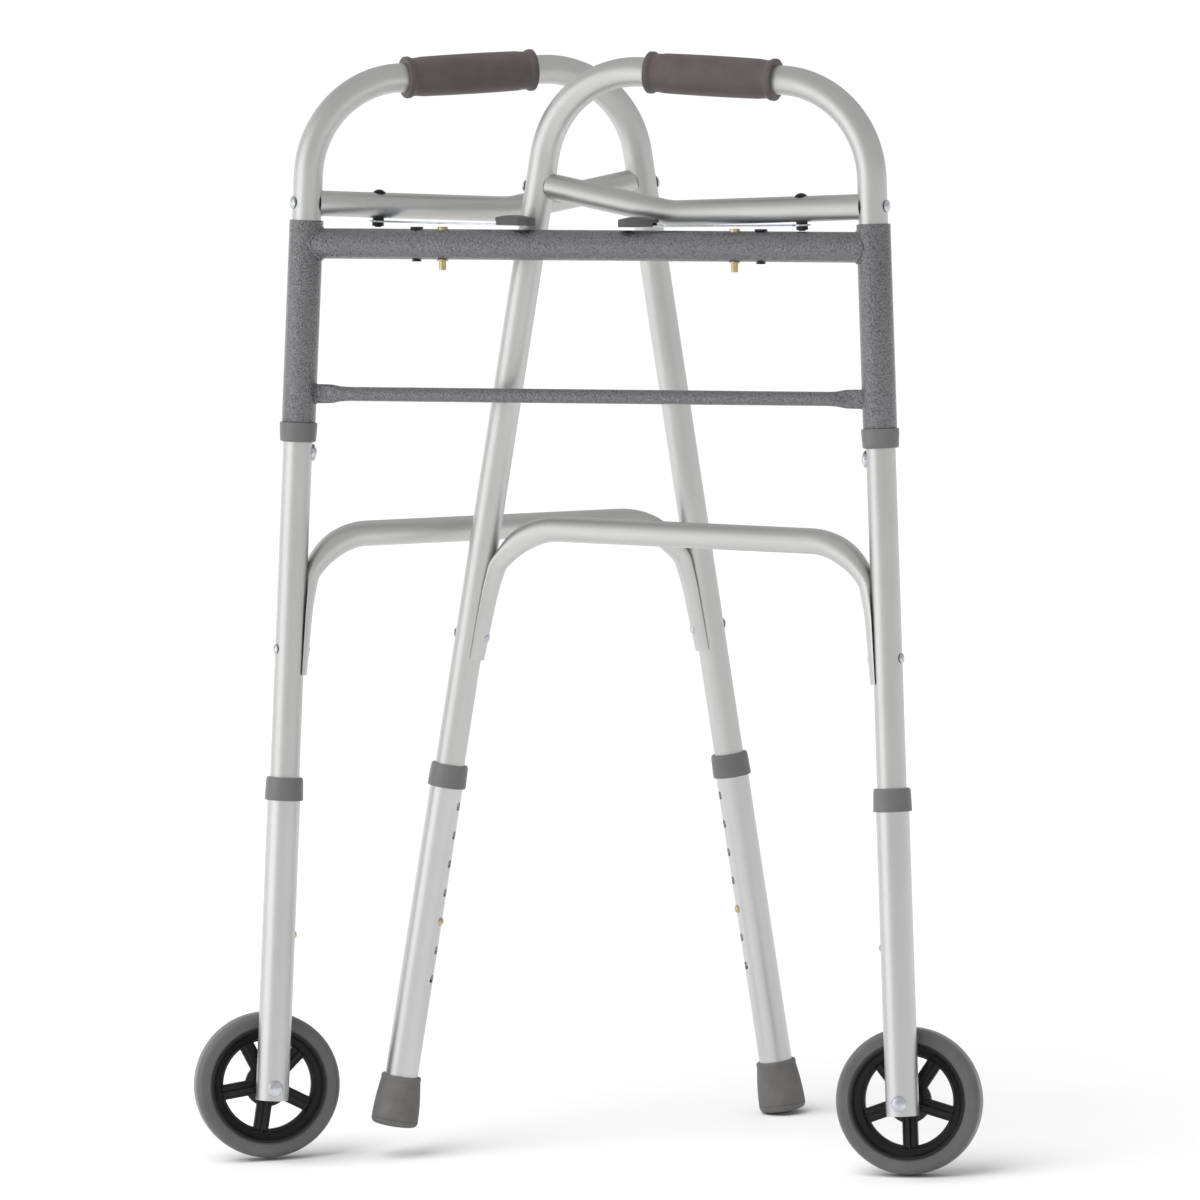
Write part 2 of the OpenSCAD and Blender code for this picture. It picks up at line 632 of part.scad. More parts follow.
module tyre(sgn) color("gray") on_side(sgn) axle_axis() translate([0, 0, wheel_off])
    rotate_extrude() {
        r0 = hub_r + seat_gap;
        r1 = wheel_d / 2;
        w = tyre_w / 2;
        polygon([[r0, -w + 1], [r0 + 1, -w], [r1 - 5, -w], [r1 - 2, -w + 1.6],
            [r1 - 0.6, -w + 4], [r1, -w + 8], [r1, w - 8], [r1 - 0.6, w - 4],
            [r1 - 2, w - 1.6], [r1 - 5, w], [r0 + 1, w], [r0, w - 1]]);
    }
module tyre_left() tyre(-1);
module tyre_right() tyre(1);

// bolt head on the inner side of the leg, then leg, spacer, wheel and nut
bolt_far = wheel_off + tyre_w / 2 + 10;
module axle_bolt(sgn) color("gainsboro") on_side(sgn) axle_axis() {
    translate([0, 0, -ext_r - seat_gap]) mirror([0, 0, 1]) dome(13.5, 3.2);
    translate([0, 0, -ext_r - 1.4]) cylinder(d = axle_d, h = ext_r + 1.4 + bolt_far);
}
module axle_bolt_left() axle_bolt(-1);
module axle_bolt_right() axle_bolt(1);

module axle_spacer(sgn) color("gainsboro") on_side(sgn) axle_axis() difference() {
    translate([0, 0, ext_r - 3]) ring(16, axle_d + 2 * screw_gap, 3 + 2.6);
    rotate([90, 0, 0]) translate([0, 0, -20]) cylinder(r = ext_r + seat_gap, h = 40);
}
module axle_spacer_left() axle_spacer(-1);
module axle_spacer_right() axle_spacer(1);

module axle_nut(sgn) color("gainsboro") on_side(sgn) axle_axis()
    translate([0, 0, wheel_off + tyre_w / 2 + 0.4]) difference() {
        union() {
            cylinder(d = 17, h = 1.4);
            translate([0, 0, 1.3]) cylinder(d = 14.4, h = 6.5, $fn = 6);
        }
        translate([0, 0, -1]) cylinder(d = axle_d + 2 * seat_gap, h = 20);
    }
module axle_nut_left() axle_nut(-1);
module axle_nut_right() axle_nut(1);

// ---------- folding lock links ----------

module link_bolt(sgn) color("gainsboro") on_side(sgn) translate([link_bolt_u, 0, 0]) {
    d = screw_d;
    translate([0, 0, brace_s + brace_r + seat_gap]) dome(11, 2.6);
    translate([0, 0, strip_lo - 4.2]) cylinder(d = d, h = brace_s + brace_r + 4.4 - strip_lo);
    difference() {
        translate([0, 0, strip_lo + link_t + 0.1]) cylinder(d = 10, h = 3);
        facing_u(-20, brace_s) cylinder(r = brace_r + seat_gap, h = 40);
    }
    translate([0, 0, strip_lo - 3.4]) cylinder(d = 11, h = 3.3, $fn = 6);
}
module link_bolt_left() link_bolt(-1);
module link_bolt_right() link_bolt(1);

module lock_link(sgn) color("silver") on_side(sgn) link_axis(sgn) translate([0, 0, strip_lo])
    difference() {
        union() {
            cylinder(d = link_w, h = link_t);
            rotate([0, -link_set, 0]) translate([link_w * 0.4, -link_w / 2, 0])
                cube([link_len - link_w * 0.4 + paddle_l * 0.2, link_w, link_t]);
        }
        translate([0, 0, -5]) cylinder(d = screw_d + 2 * run_gap, h = 10);
        rotate([0, -link_set, 0]) translate([link_len, 0, -5])
            cylinder(d = stem_d + 2 * run_gap, h = 10);
    }
module lock_link_left() lock_link(-1);
module lock_link_right() lock_link(1);

// the paddle straddles the end of the link and is pressed down over it
stem_d = 4;
module paddle(sgn) color("#3d3d40") on_side(sgn) link_axis(sgn)
    translate([0, 0, strip_lo]) rotate([0, -link_set, 0]) translate([link_len, 0, 0.3]) {
        difference() {
            intersection() {
                translate([-paddle_l / 2, -paddle_w / 2, 0])
                    cube([paddle_l, paddle_w, paddle_t]);
                translate([0, 0, paddle_t - 60]) sphere(r = 60);
                scale([1, paddle_w / paddle_l, 1]) cylinder(d = paddle_l * 1.16, h = paddle_t);
            }
            translate([-paddle_l, -link_w / 2 - 0.3, -1])
                cube([1.5 * paddle_l - 4, link_w + 0.6, link_t + paddle_travel + 1]);
        }
        cylinder(d = stem_d, h = link_t + paddle_travel + 1);
    }
module paddle_left() paddle(-1);
module paddle_right() paddle(1);

crossbar();
lower_bar();
pivot_sleeve_left();
pivot_sleeve_right();
sleeve_bush_left();
sleeve_bush_right();
sleeve_ring_left();
sleeve_ring_right();
side_tube_left();
side_tube_right();
grip_left();
grip_right();
upper_brace_left();
upper_brace_right();
lower_brace_left();
lower_brace_right();
brace_screws_left();
brace_screws_right();
brace_rivets_left();
brace_rivets_right();
retaining_screw_left();
retaining_screw_right();
retaining_washer_left();
retaining_washer_right();
front_extension_left();
front_extension_right();
rear_extension_left();
rear_extension_right();
front_collar_left();
front_collar_right();
rear_collar_left();
rear_collar_right();
snap_front_left();
snap_front_right();
snap_rear_left();
snap_rear_right();
snap_clips_left();
snap_clips_right();
rubber_tip_left();
rubber_tip_right();
wheel_hub_left();
wheel_hub_right();
tyre_left();
tyre_right();
axle_bolt_left();
axle_bolt_right();
axle_spacer_left();
axle_spacer_right();
axle_nut_left();
axle_nut_right();
lock_link_left();
lock_link_right();
paddle_left();
paddle_right();
link_bolt_left();
link_bolt_right();
guide_rivets();
lock_pin_left();
lock_pin_right();
pin_springs();
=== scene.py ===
# %% [markdown]
# # A folding walker, piece by piece
# This lesson dresses a folding walking frame that already has its exact sizes. We swap
# the tubes, wheels and mouldings for finer meshes in the same places, then give every
# piece a finish made only from shader nodes. The box round the untouched model is
# measured first, because nothing we add may grow it.

# %% Load the frame
import json
import math

import bmesh
import bpy
from mathutils import Matrix, Vector


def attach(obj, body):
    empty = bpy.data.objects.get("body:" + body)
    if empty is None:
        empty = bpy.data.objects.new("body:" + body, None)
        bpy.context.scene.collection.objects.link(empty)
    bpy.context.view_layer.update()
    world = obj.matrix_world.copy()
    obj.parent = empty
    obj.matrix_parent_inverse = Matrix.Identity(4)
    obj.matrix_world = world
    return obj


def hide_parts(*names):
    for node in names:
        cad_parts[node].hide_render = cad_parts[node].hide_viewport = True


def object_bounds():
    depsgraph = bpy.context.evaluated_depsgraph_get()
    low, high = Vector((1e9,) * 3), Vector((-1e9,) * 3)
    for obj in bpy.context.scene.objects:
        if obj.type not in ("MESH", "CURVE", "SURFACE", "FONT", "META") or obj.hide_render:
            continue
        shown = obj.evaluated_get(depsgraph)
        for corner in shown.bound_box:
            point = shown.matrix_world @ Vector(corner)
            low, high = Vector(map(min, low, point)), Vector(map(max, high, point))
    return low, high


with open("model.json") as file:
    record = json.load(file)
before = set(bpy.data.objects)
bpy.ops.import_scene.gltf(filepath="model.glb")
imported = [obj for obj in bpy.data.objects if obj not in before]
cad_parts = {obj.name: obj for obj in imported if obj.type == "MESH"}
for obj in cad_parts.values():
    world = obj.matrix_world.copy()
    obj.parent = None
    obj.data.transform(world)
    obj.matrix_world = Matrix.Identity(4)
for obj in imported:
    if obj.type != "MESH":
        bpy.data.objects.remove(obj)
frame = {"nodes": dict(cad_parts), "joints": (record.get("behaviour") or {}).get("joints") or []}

design_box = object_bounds()
node_objects = frame["nodes"]
print("pieces in the frame:", len(node_objects))

# %% [markdown]
# ## Where each side frame stands
# The walker is folded, so its two side frames stand at different angles. Every joint knows
# where it is and which way it points, so we build one placing matrix a side from them:
# X runs back from the front leg, Y out of the side frame, and Z up the front leg, all in
# millimetres. The right side is a mirror of the left, so one drawing serves both.

# %% Side frames
joint = {j["name"]: j for j in frame["joints"]}
millimetres = Matrix.Scale(0.001, 4)


def axes(origin, x, y, z):
    place = Matrix((x, y, z)).transposed().to_4x4()
    place.translation = Vector(origin)
    return place @ millimetres


def side_place(side):
    hinge = joint["fold_" + side]
    up = Vector(hinge["axis"]).normalized()
    back = -Vector(joint["front_button_press_" + side]["axis"])
    back = (back - up * back.dot(up)).normalized()
    out = up.cross(back) * (1 if side == "left" else -1)
    return axes(hinge["pos_m"], back, out, up)


SIDES = ("left", "right")
side = {s: side_place(s) for s in SIDES}
bar_up = -Vector(joint["lock_pin_press_left"]["axis"]).normalized()
bar_middle = (Vector(joint["fold_left"]["pos_m"]) + Vector(joint["fold_right"]["pos_m"])) / 2
bar_place = axes(bar_middle, Vector((1, 0, 0)), bar_up.cross(Vector((1, 0, 0))), bar_up)
print("left hinge at", [round(v, 3) for v in side["left"].translation])

# %% [markdown]
# ## Turning a list of points into a piece
# Every new piece ends the same way: its points are placed in the world, its faces are
# turned to look outwards, smooth shading is cut at the real edges, it is hung on the body
# that carries it, and the solids it stands for are hidden. Doing this in one helper keeps
# each later cell about the shape alone.

# %% Piece helper
def make_piece(name, shape, place, body, finish, stands_for=(), sharp=38):
    verts, faces = shape
    mesh = bpy.data.meshes.new(name)
    mesh.from_pydata([place @ Vector(v) for v in verts], [], faces)
    work = bmesh.new()
    work.from_mesh(mesh)
    bmesh.ops.remove_doubles(work, verts=work.verts, dist=1e-6)
    bmesh.ops.recalc_face_normals(work, faces=work.faces)
    work.to_mesh(mesh)
    work.free()
    mesh.shade_smooth()
    mesh.set_sharp_from_angle(angle=math.radians(sharp))
    mesh.materials.append(finish)
    piece = bpy.data.objects.new(name, mesh)
    bpy.context.scene.collection.objects.link(piece)
    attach(piece, body)
    if stands_for:
        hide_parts(*stands_for)
    return piece


def together(*shapes):
    verts, faces = [], []
    for part_verts, part_faces in shapes:
        start = len(verts)
        verts += [tuple(v) for v in part_verts]
        faces += [tuple(start + i for i in face) for face in part_faces]
    return verts, faces


def moved(shape, place):
    return [tuple(place @ Vector(v)) for v in shape[0]], shape[1]


# %% [markdown]
# ## Soft corners and turned shapes
# Moulded rings, grips, tips and tyres are all round, so each one is a profile turned about
# an axis. Real mouldings never have a knife edge, so a corner may name a radius and is
# replaced by a short curve. Each curve costs a few points and catches a highlight, which is
# most of what makes a moulding look real.

# %% Lathe helpers
def softened(corners, closed=False):
    """Corners are (x, y) or (x, y, radius); a radius rounds that corner."""
    out, count = [], len(corners)
    for i, corner in enumerate(corners):
        here = Vector(corner[:2])
        ends = (0 < i < count - 1) or closed
        if len(corner) < 3 or not ends:
            out.append(tuple(here))
            continue
        before = Vector(corners[i - 1][:2]) - here
        after = Vector(corners[(i + 1) % count][:2]) - here
        cut = min(corner[2], before.length * 0.49, after.length * 0.49)
        a, b = here + before.normalized() * cut, here + after.normalized() * cut
        for k in range(7):
            t = k / 6
            out.append(tuple(a * (1 - t) ** 2 + here * 2 * t * (1 - t) + b * t * t))
    return out


def turned(profile, turns=72, closed=True):
    verts, faces, count = [], [], len(profile)
    for k in range(turns):
        a = 2 * math.pi * k / turns
        verts += [(r * math.cos(a), r * math.sin(a), z) for r, z in profile]
    for k in range(turns):
        for i in range(count if closed else count - 1):
            j = (i + 1) % count
            faces.append((k * count + i, (k + 1) % turns * count + i,
                          (k + 1) % turns * count + j, k * count + j))
    return verts, faces


# %% [markdown]
# ## Bending a tube
# The makers bend a straight tube round a former, so its centre line is straight runs joined
# by arcs of one radius. We walk along that line and set a ring of points square to it at
# every step. A round ring gives a tube, and a ring that changes shape as it goes gives the
# squeezed ends of a brace.

# %% Tube helpers
def bent_line(corners, radius):
    """(length so far, point, direction) along straight runs joined by arcs; radius may
    be one number or a list with one for each corner."""
    points = [Vector(c) for c in corners]
    radii = radius if isinstance(radius, list) else [radius] * (len(points) - 2)
    stops = [points[0]]
    for i in range(1, len(points) - 1):
        radius = radii[i - 1]
        into = (points[i] - points[i - 1]).normalized()
        out = (points[i + 1] - points[i]).normalized()
        angle = into.angle(out)
        turn_way = 1 if into.x * out.y - into.y * out.x > 0 else -1
        start = points[i] - into * radius * math.tan(angle / 2)
        centre = start + turn_way * radius * Vector((-into.y, into.x))
        steps = max(6, round(math.degrees(angle) / 2.5))
        arm = start - centre
        for k in range(steps + 1):
            a = turn_way * angle * k / steps
            stops.append(centre + Vector((arm.x * math.cos(a) - arm.y * math.sin(a),
                                          arm.x * math.sin(a) + arm.y * math.cos(a))))
    stops.append(points[-1])
    fine = [stops[0]]
    for a, b in zip(stops, stops[1:]):
        pieces = max(1, round((b - a).length / 8))
        fine += [a.lerp(b, k / pieces) for k in range(1, pieces + 1)]
    line, length = [], 0.0
    for i, p in enumerate(fine):
        length += (p - fine[i - 1]).length if i else 0
        ahead = (fine[min(i + 1, len(fine) - 1)] - fine[max(i - 1, 0)]).normalized()
        line.append((length, p, ahead))
    return line


AROUND = 56


def skinned(line, ring, around=AROUND):
    """ring(length, turn) gives (offset in the bend's plane, offset across it)."""
    verts, faces = [], []
    for length, p, ahead in line:
        normal = Vector((-ahead.y, ahead.x))
        for k in range(around):
            a, b = ring(length, 2 * math.pi * k / around)
            verts.append((p.x + normal.x * a, b, p.y + normal.y * a))
    for i in range(len(line) - 1):
        for k in range(around):
            j = (k + 1) % around
            faces.append((i * around + k, i * around + j,
                          (i + 1) * around + j, (i + 1) * around + k))
    return verts, faces


def round_ring(radius):
    return lambda length, turn: (radius * math.cos(turn), radius * math.sin(turn))


# %% [markdown]
# ## A small kit for finishes
# Each finish is a Principled shader with patterns feeding its colour, roughness and bump.
# All the pieces keep their object origin at the world origin, so Object coordinates are
# metres on the real thing and a pattern's scale can be worked out from its real size: a
# scale of 400 gives features about 2.5 mm across.

# %% Finish helpers
class Finish:
    def __init__(self, name, **constant):
        self.material = bpy.data.materials.new(name)
        self.material.use_nodes = True
        self.tree = self.material.node_tree
        self.shader = self.tree.nodes["Principled BSDF"]
        for key, value in constant.items():
            self.shader.inputs[key.replace("_", " ")].default_value = value
        self.place = self.add("TexCoord").outputs["Object"]

    def add(self, kind, **values):
        node = self.tree.nodes.new("ShaderNode" + kind)
        for key, value in values.items():
            if hasattr(node, key):
                setattr(node, key, value)
            else:
                node.inputs[key].default_value = value
        return node

    def join(self, a, b):
        self.tree.links.new(a, b)

    def stretched(self, x, y, z):
        node = self.add("Mapping", Scale=(x, y, z))
        self.join(self.place, node.inputs["Vector"])
        return node.outputs["Vector"]

    def noise(self, scale, detail=4.0, roughness=0.55, where=None):
        node = self.add("TexNoise", Scale=scale, Detail=detail, Roughness=roughness)
        self.join(where or self.place, node.inputs["Vector"])
        return node.outputs["Fac"]

    def colours(self, amount, *stops):
        ramp = self.add("ValToRGB")
        band = ramp.color_ramp
        band.elements[0].position, band.elements[0].color = stops[0][0], (*stops[0][1], 1)
        band.elements[1].position, band.elements[1].color = stops[-1][0], (*stops[-1][1], 1)
        for position, colour in stops[1:-1]:
            band.elements.new(position).color = (*colour, 1)
        self.join(amount, ramp.inputs["Fac"])
        self.join(ramp.outputs["Color"], self.shader.inputs["Base Color"])

    def between(self, amount, low, high, start=0.3, end=0.7):
        node = self.add("MapRange")
        for key, value in (("From Min", start), ("From Max", end),
                           ("To Min", low), ("To Max", high)):
            node.inputs[key].default_value = value
        self.join(amount, node.inputs["Value"])
        return node.outputs["Result"]

    def roughness(self, amount, low, high):
        self.join(self.between(amount, low, high), self.shader.inputs["Roughness"])

    def bump(self, height, depth, strength=1.0):
        node = self.add("Bump", Strength=strength, Distance=depth)
        self.join(height, node.inputs["Height"])
        last = self.shader.inputs["Normal"].links
        if last:
            self.join(last[0].from_socket, node.inputs["Normal"])
        self.join(node.outputs["Normal"], self.shader.inputs["Normal"])


print("finish kit ready")

# %% [markdown]
# ## Hammered enamel
# The crossbar, the hinge sleeves and the lower bar wear hammered grey enamel. While it
# dries, the paint draws up into little flat islands with channels between them, so light
# breaks into squiggles. A Voronoi pattern under 2 mm across, bent by a noise so that no
# cell is a neat polygon, gives the islands. A metal flake in the paint is most of its
# shine, so the shader is part metallic.

# %% Hammered enamel
enamel = Finish("hammered_enamel", Metallic=0.62, Coat_Weight=0.35, Coat_Roughness=0.16)
wander = enamel.noise(120, 3)
bent = enamel.add("VectorMath", operation="MULTIPLY_ADD")
bent.inputs[1].default_value = (0.006, 0.006, 0.006)
enamel.join(wander, bent.inputs[0])
enamel.join(enamel.place, bent.inputs[2])
islands = enamel.add("TexVoronoi", feature="SMOOTH_F1", Scale=620, Smoothness=0.5)
enamel.join(bent.outputs["Vector"], islands.inputs["Vector"])
enamel.colours(islands.outputs["Distance"], (0.1, (0.205, 0.205, 0.212)),
               (0.5, (0.165, 0.165, 0.172)), (0.85, (0.105, 0.105, 0.11)))
enamel.roughness(islands.outputs["Distance"], 0.16, 0.27)
enamel.bump(islands.outputs["Distance"], 0.0008, 1.0)
enamel.bump(enamel.noise(900, 2), 0.00012, 0.5)
print("made", enamel.material.name)

# %% [markdown]
# ## Satin aluminium
# The tubes are drawn through a die, which leaves hair lines along them, and then anodised,
# which turns the polish into satin. The lines are a noise squeezed sideways and stretched
# along Z, which is nearly the length of every leg. They change roughness and bump a little,
# and a slow broad noise shifts the tone the way handling and anodising do. Bare metal has no
# colour of its own beyond its reflection, so Metallic is one.

# %% Satin aluminium
def drawn_aluminium(name, tone, rough):
    alloy = Finish(name, Metallic=1.0)
    lines = alloy.noise(1, 5, 0.6, alloy.stretched(2600, 2600, 18))
    clouds = alloy.noise(9, 4, 0.6)
    alloy.colours(clouds, (0.3, tuple(c * 0.93 for c in tone)), (0.7, tone))
    alloy.roughness(lines, rough - 0.035, rough + 0.05)
    alloy.bump(lines, 0.00003, 0.35)
    scuffs = alloy.noise(260, 6, 0.75)
    alloy.bump(alloy.between(scuffs, 0, 1, 0.62, 0.7), 0.00004, 0.4)
    return alloy.material


frame_aluminium = drawn_aluminium("satin_frame_tube", (0.6, 0.6, 0.592), 0.43)
leg_aluminium = drawn_aluminium("satin_leg_tube", (0.63, 0.63, 0.637), 0.4)
print("made", frame_aluminium.name, leg_aluminium.name)

# %% [markdown]
# ## Plastic, rubber and vinyl
# The wheels, collars, tips and grips are moulded. Moulded plastic is smooth with a faint
# orange peel, rubber is duller and mottled by bloom and dust, and the soft vinyl of the
# grips carries a fine pebble from its mould. One helper makes them all, with the size and
# depth of the texture as its knobs.

# %% Moulded finishes
def moulded(name, dark, light, rough, grain, depth, mottle=30, **constant):
    stuff = Finish(name, **constant)
    cloud = stuff.noise(mottle, 5, 0.62)
    fine = stuff.noise(grain, 3, 0.5)
    stuff.colours(cloud, (0.32, dark), (0.7, light))
    stuff.roughness(cloud, rough - 0.05, rough + 0.07)
    stuff.bump(fine, depth, 0.6)
    stuff.bump(stuff.noise(grain * 0.22, 2), depth * 1.6, 0.35)
    return stuff.material


grip_vinyl = moulded("pebbled_vinyl", (0.072, 0.057, 0.057), (0.098, 0.078, 0.078), 0.52, 1500,
                     0.00016, 45, Specular_IOR_Level=0.4, Coat_Weight=0.08,
                     Coat_Roughness=0.4)
ring_plastic = moulded("satin_grey_plastic", (0.125, 0.122, 0.121), (0.15, 0.147, 0.146), 0.4,
                       700, 0.00004)
tip_rubber = moulded("grey_tip_rubber", (0.115, 0.112, 0.108), (0.15, 0.147, 0.142), 0.62, 1100,
                     0.0001, 60, Specular_IOR_Level=0.35)
tyre_rubber = moulded("grey_tyre_rubber", (0.086, 0.086, 0.089), (0.107, 0.107, 0.111), 0.36,
                      800, 0.00005, 35, Coat_Weight=0.1, Coat_Roughness=0.3)
hub_plastic = moulded("black_hub_plastic", (0.006, 0.006, 0.006), (0.011, 0.011, 0.011), 0.38,
                      900, 0.00005, Specular_IOR_Level=0.35)
paddle_plastic = moulded("dark_paddle_plastic", (0.052, 0.052, 0.055), (0.07, 0.07, 0.073),
                         0.42, 1200, 0.00008)
print("moulded finishes ready")

# %% [markdown]
# ## Plated hardware
# Screws, rivets and axle bolts are zinc plated, the snap buttons and lock pins are brass,
# and the guide rivets and the bolts of the lock links are blackened. Plating is bright but
# never even: a fine crystal mottle changes its roughness, and handling leaves small dull
# patches. Only tone and roughness differ from one metal to the next, so one helper makes
# them all.

# %% Plated finishes
def plated(name, dark, light, rough):
    metal = Finish(name, Metallic=1.0)
    spangle = metal.add("TexVoronoi", Scale=900)
    metal.join(metal.place, spangle.inputs["Vector"])
    metal.colours(metal.noise(170, 5, 0.65), (0.35, dark), (0.68, light))
    metal.roughness(spangle.outputs["Distance"], rough, rough + 0.12)
    metal.bump(metal.noise(1400, 3), 0.00003, 0.5)
    return metal.material


zinc = plated("zinc_plate", (0.47, 0.5, 0.545), (0.66, 0.69, 0.74), 0.24)
brass = plated("brass_plate", (0.47, 0.37, 0.2), (0.68, 0.57, 0.36), 0.24)
black_zinc = plated("black_zinc", (0.03, 0.03, 0.032), (0.06, 0.06, 0.064), 0.35)
spring_steel = plated("spring_steel", (0.4, 0.4, 0.4), (0.56, 0.56, 0.57), 0.25)
print("plated finishes ready")

# %% [markdown]
# ## The side loops
# Each side of the walker is one long tube: up the front leg, over the top and down the
# rear leg, which rakes back. The grip slides on before the rubber tip. We give the bent
# line the same corners as the design and sweep one smooth skin along it, so that no joint
# line shows where a straight run meets a bend.

# %% Side loops
TUBE = 25.4 / 2
TOP_BEND = 87
TOP_FRONT, TOP_REAR, RISE, RAKE = 138.7, 288.3, math.radians(5.1), math.radians(11.7)
TOP_BACK = TOP_FRONT + TOP_REAR * math.tan(RISE)
REAR_AT_BAR = TOP_REAR + TOP_BACK * math.tan(RAKE)


def rear_leg(s):
    """Distance back to the rear leg's axis at height s."""
    return REAR_AT_BAR - s * math.tan(RAKE)


loop_corners = [(0, -650), (0, TOP_FRONT), (TOP_REAR, TOP_BACK), (rear_leg(-620), -620)]
loop_line = bent_line(loop_corners, TOP_BEND)
for s in SIDES:
    make_piece("loop_" + s, skinned(loop_line, round_ring(TUBE)), side[s], "frame_" + s,
               frame_aluminium, ["side_tube_" + s])
print("loop tube is", round(loop_line[-1][0]), "mm long")

# %% [markdown]
# ## The upper brace
# A thinner tube joins the two legs just above the crossbar. It runs level, then turns up a
# little to meet the raked rear leg squarely. Its ends are coped to fit round the legs, so
# each end is pushed a little way into the leg and the leg hides the cut.

# %% Upper brace
BRACE = 22.2 / 2
BRACE_S, BRACE_BEND, INTO_LEG = 35, 187, 9
rake_tan = math.tan(RAKE)
brace_rear_s = BRACE_S + (rear_leg(BRACE_S) - BRACE_BEND) * rake_tan / (1 + rake_tan ** 2)
brace_end = (rear_leg(brace_rear_s) - INTO_LEG, brace_rear_s + INTO_LEG * rake_tan)
brace_line = bent_line([(INTO_LEG, BRACE_S), (BRACE_BEND, BRACE_S), brace_end], 60)
for s in SIDES:
    make_piece("upper_brace_tube_" + s, skinned(brace_line, round_ring(BRACE)), side[s],
               "frame_" + s, frame_aluminium, ["upper_brace_" + s])

# %% [markdown]
# ## The lower brace and its squeezed ends
# The lower brace is a shallow U. Each end is crushed in a press until it is a curved
# tongue that hugs the leg, where one rivet holds it. The ring of points therefore changes
# along the tube: round for most of the way, then flatter and flatter. Near the very end it
# also curls round the leg, so that a thin dark line of air is left between the two.

# %% Lower brace
LOW_FRONT, LOW_RISE = -252.0, math.radians(3.8)
low_front_u = TUBE + 22
low_rear_u = rear_leg(LOW_FRONT) - TUBE - 30
low_back_s = LOW_FRONT + (low_rear_u - low_front_u) * math.tan(LOW_RISE)
low_line = bent_line([(TUBE + 1.9, -374), (TUBE + 4.2, -287), (low_front_u, LOW_FRONT),
                      (low_rear_u, low_back_s), (rear_leg(-264) - TUBE - 4.4, -264),
                      (rear_leg(-346) - TUBE - 2.0, -346)], [20, 57, 62, 20])
low_length = low_line[-1][0]


def squeezed_ring(length, turn):
    from_end = min(length, low_length - length)
    flat = 1 - min(max((from_end - 52) / 74, 0), 1)
    flat = flat * flat * (3 - 2 * flat)
    pressed = 1.45 + 2.3 * min(from_end / 78, 1)
    thick = BRACE * (1 - flat) + pressed * flat
    wide = BRACE * (1 - flat) + 11.0 * flat
    across = wide * math.sin(turn)
    curl = (TUBE - math.sqrt(TUBE ** 2 - min(across * across, 130))) * flat
    return thick * math.cos(turn) + curl, across


low_shape = skinned(low_line, squeezed_ring)
last_ring = len(low_shape[0]) - AROUND
caps = [tuple(range(AROUND)), tuple(last_ring + k for k in range(AROUND))]
low_shape = (low_shape[0], low_shape[1] + caps)
for s in SIDES:
    make_piece("lower_brace_tube_" + s, low_shape, side[s], "frame_" + s, frame_aluminium,
               ["lower_brace_" + s])
print("lower brace is", round(low_length), "mm along its bend")

# %% [markdown]
# ## Hand grips
# A grip is a soft vinyl sleeve: a slim flange at each end, a neck, and a barrel that swells
# gently for the palm. It is turned from one profile on the top rail. The fine ribs round
# the barrel are real bumps in the profile, less than a fifth of a millimetre deep, and they
# soften the highlight along the barrel.

# %% Hand grips
GRIP, GRIP_LEN = 36.5 / 2, 119.0
ribs = []
for k in range(61):
    z = 15 + k * (GRIP_LEN - 30) / 60
    swell = 0.5 * (1 - ((z - GRIP_LEN / 2) / (GRIP_LEN / 2 - 13)) ** 2)
    ribs.append((GRIP - 1.15 + swell + (0.16 if k % 2 else 0.0), z))
grip_profile = softened([(TUBE + 0.1, 0), (GRIP, 0, 1.5), (GRIP, 4.4, 2.0),
                         (GRIP - 1.7, 6.6, 2.4), (GRIP - 1.6, 11, 3)])
grip_profile += ribs
grip_profile += softened([(GRIP - 1.6, GRIP_LEN - 11), (GRIP - 1.7, GRIP_LEN - 6.6, 2.4),
                          (GRIP, GRIP_LEN - 4.4, 2.0), (GRIP, GRIP_LEN, 1.5),
                          (TUBE + 0.1, GRIP_LEN)])
rail = TOP_REAR / math.cos(RISE) / 2
grip_place = (Matrix.Translation((0, 0, TOP_FRONT))
              @ Matrix.Rotation(math.pi / 2 - RISE, 4, "Y")
              @ Matrix.Translation((0, 0, rail - GRIP_LEN / 2)))
for s in SIDES:
    make_piece("vinyl_grip_" + s, turned(grip_profile), side[s] @ grip_place,
               "frame_" + s, grip_vinyl, ["grip_" + s], sharp=50)

# %% [markdown]
# ## Collars and sleeve rings
# A grey plastic collar guides each leg where it enters its extension, and a ring of the
# same plastic closes each hinge sleeve from below. They are the same kind of moulding: a
# rounded top edge, sides that flare a little so that the mould lets go, and a crisp foot.

# %% Collars and rings
rear_axis = Matrix.Translation((REAR_AT_BAR, 0, 0)) @ Matrix.Rotation(-RAKE, 4, "Y")
ON_EXTENSION = 14.32
FRONT_COLLAR = -473.0
REAR_COLLAR = -445.0 / math.cos(RAKE)
collar_profile = softened([(TUBE + 0.1, 10), (15.6, 10, 1.5), (16.2, 7, 3), (16.7, -8, 2),
                           (16.7, -10, 0.7), (ON_EXTENSION, -10), (ON_EXTENSION, 1.98),
                           (TUBE + 0.1, 1.98)])
for s in SIDES:
    make_piece("leg_collar_front_" + s, turned(collar_profile),
               side[s] @ Matrix.Translation((0, 0, FRONT_COLLAR)), "front_leg_" + s,
               ring_plastic, ["front_collar_" + s])
    make_piece("leg_collar_rear_" + s, turned(collar_profile),
               side[s] @ rear_axis @ Matrix.Translation((0, 0, REAR_COLLAR)), "rear_leg_" + s,
               ring_plastic, ["rear_collar_" + s])

